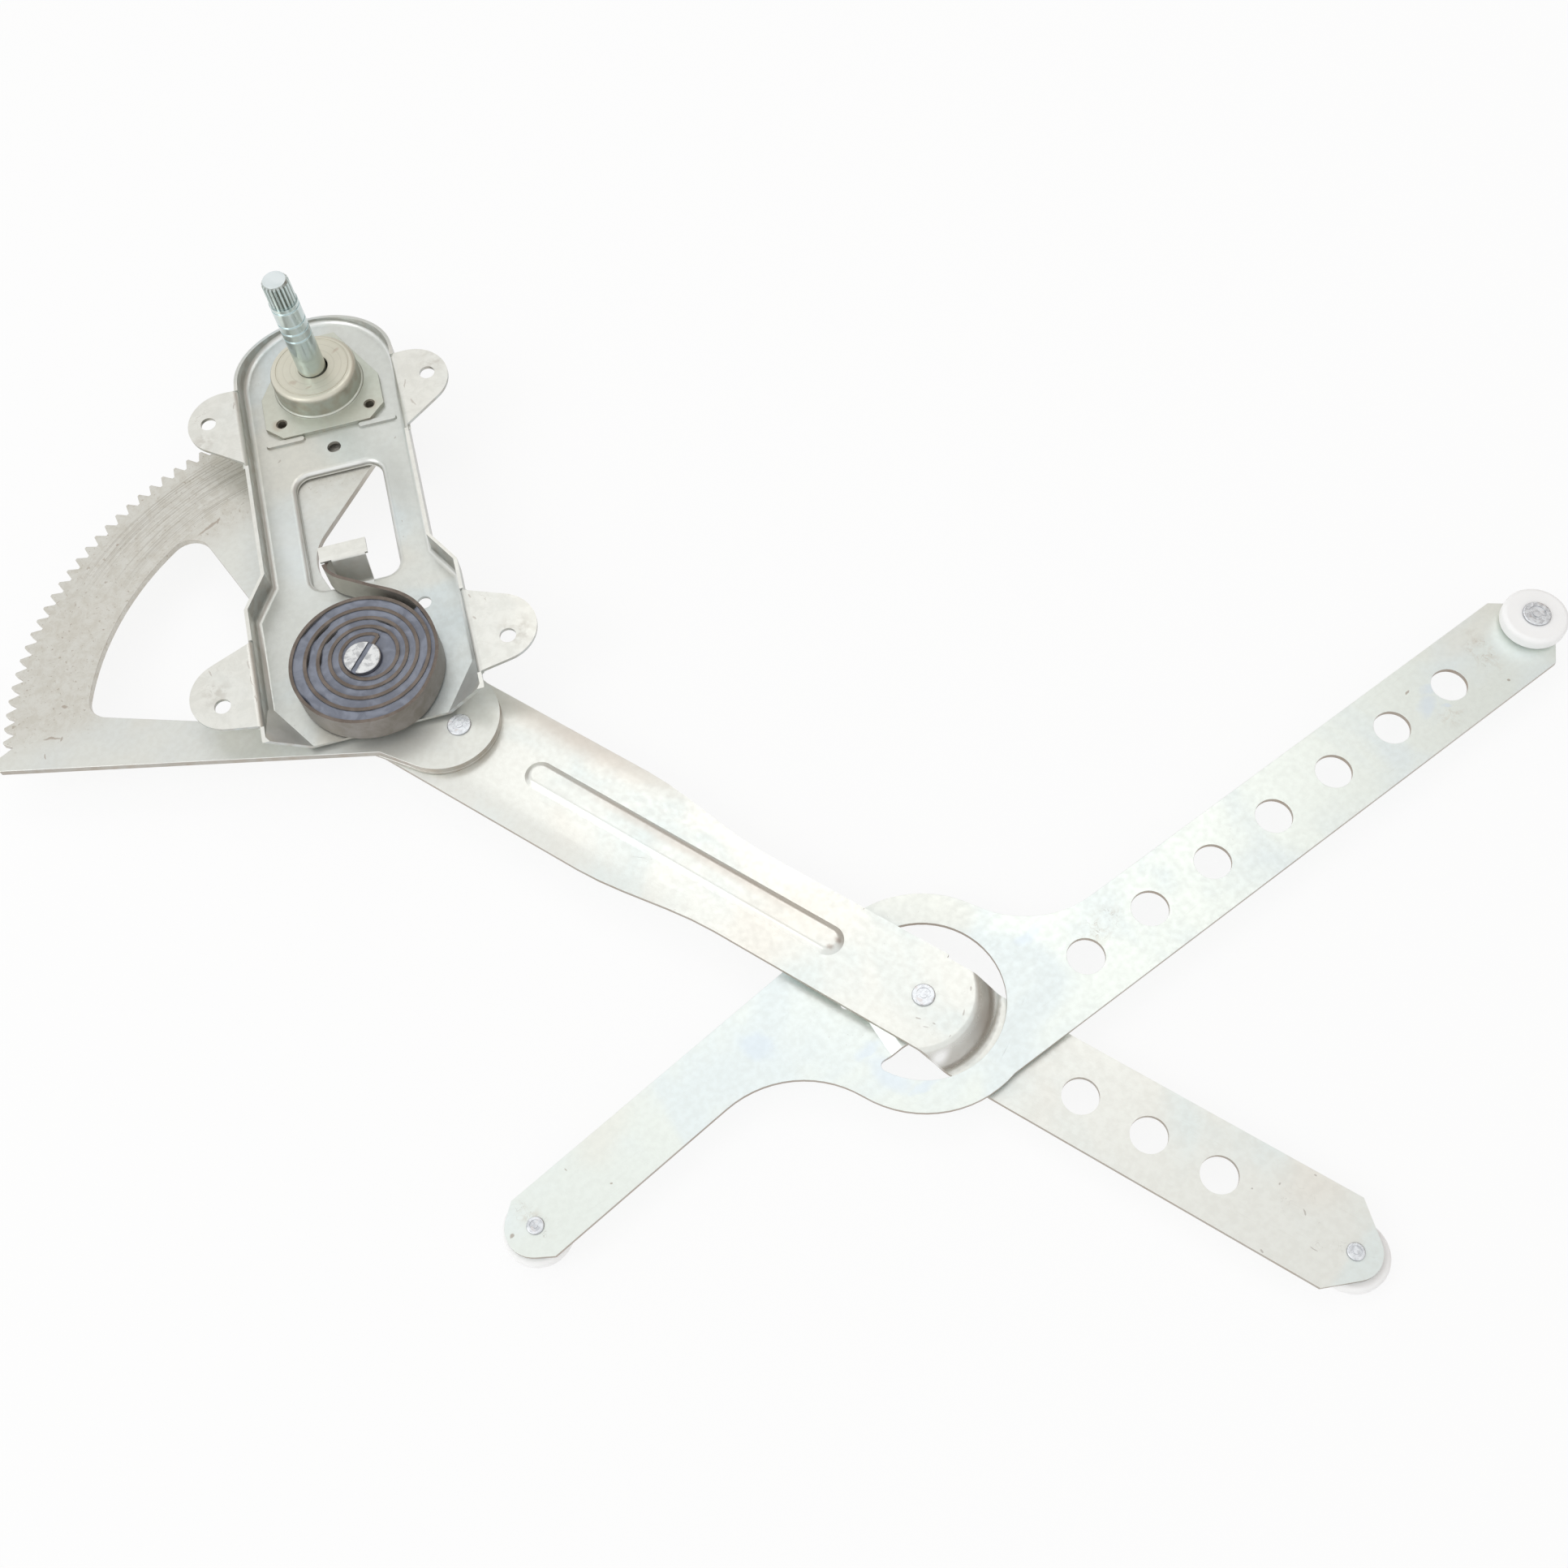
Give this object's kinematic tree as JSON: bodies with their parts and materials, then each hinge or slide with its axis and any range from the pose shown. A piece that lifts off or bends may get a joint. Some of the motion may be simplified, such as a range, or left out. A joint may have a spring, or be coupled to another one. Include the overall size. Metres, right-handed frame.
{
  "type": "window regulator",
  "caption": "Manual crossed-arm window regulator with a crank spindle, sector gear, coiled counterbalance spring, lift arm and equalizer arm with nylon rollers.",
  "frame": {"origin": "midway between the two lower ear holes of the base plate, on the face of the ears that bolts to the door's inner panel", "axes": "+X along the pair of lower ear holes towards the long arms, +Y from them towards the crank spindle, +Z out of the panel along the spindle towards its splined tip"},
  "size_m": [0.6045, 0.5099, 0.0903],
  "materials": {
    "base_zinc": "satin zinc plate with light handling marks",
    "housing_zinc": "dull zinc plate",
    "eyelet_steel": "dull zinc plate",
    "spring_steel": "oiled bare spring steel",
    "stud_zinc": "bright zinc plate",
    "spindle_zinc": "bright zinc plate",
    "pinion_steel": "bare machined steel",
    "sector_steel": "bare cold rolled steel",
    "arm_zinc": "satin zinc plate",
    "equalizer_zinc": "satin zinc plate",
    "rivet_steel": "bright zinc plate",
    "nylon": "natural white nylon"
  },
  "bodies": {
    "base": {"base_plate": "base_zinc", "brake_housing": "housing_zinc", "housing_eyelet_left": "eyelet_steel", "housing_eyelet_right": "eyelet_steel", "housing_eyelet_far": "eyelet_steel", "wrap_spring": "spring_steel", "pivot_bush": "stud_zinc", "counterbalance_spring": "spring_steel"},
    "crank": {"crank_spindle": "spindle_zinc", "pinion": "pinion_steel"},
    "lift_arm": {"sector_gear": "sector_steel", "spacer_plate": "sector_steel", "main_arm": "arm_zinc", "pivot_stud": "stud_zinc", "thrust_washer": "rivet_steel", "sector_rivet_outer": "rivet_steel", "sector_rivet_inner": "rivet_steel", "scissor_rivet": "rivet_steel", "scissor_washer": "rivet_steel", "lift_roller_pin": "rivet_steel"},
    "equalizer": {"equalizer_arm": "equalizer_zinc", "channel_roller_pin": "rivet_steel", "tail_roller_pin": "rivet_steel"},
    "lift_wheel": {"lift_roller": "nylon"},
    "channel_wheel": {"channel_roller": "nylon"},
    "tail_wheel": {"tail_roller": "nylon"}
  },
  "joints": [
    {"name": "arm_lift", "type": "hinge", "parent": "base", "child": "lift_arm", "pos_m": [0, 0.004, 0], "axis": [0, 0, 1], "range_deg": [-82, 12], "deforming": ["counterbalance_spring"]},
    {"name": "crank_spin", "type": "hinge", "parent": "base", "child": "crank", "pos_m": [0, 0.157, 0], "axis": [0, 0, 1], "range_deg": [-218, 1487]},
    {"name": "equalizer_pivot", "type": "hinge", "parent": "lift_arm", "child": "equalizer", "pos_m": [0.16986, -0.1793, -0.0215], "axis": [0, 0, 1], "range_deg": [-151, 20]},
    {"name": "lift_roller_spin", "type": "hinge", "parent": "lift_arm", "child": "lift_wheel", "pos_m": [0.28187, -0.30195, -0.03275], "axis": [0, 0, 1], "continuous": true},
    {"name": "channel_roller_spin", "type": "hinge", "parent": "equalizer", "child": "channel_wheel", "pos_m": [0.44359, -0.09577, -0.01985], "axis": [0, 0, 1], "continuous": true},
    {"name": "tail_roller_spin", "type": "hinge", "parent": "equalizer", "child": "tail_wheel", "pos_m": [0.01965, -0.22082, -0.03045], "axis": [0, 0, 1], "continuous": true}
  ],
  "couplings": [
    {"joint": "crank_spin", "follows": "arm_lift", "ratio": -18.125}
  ]
}
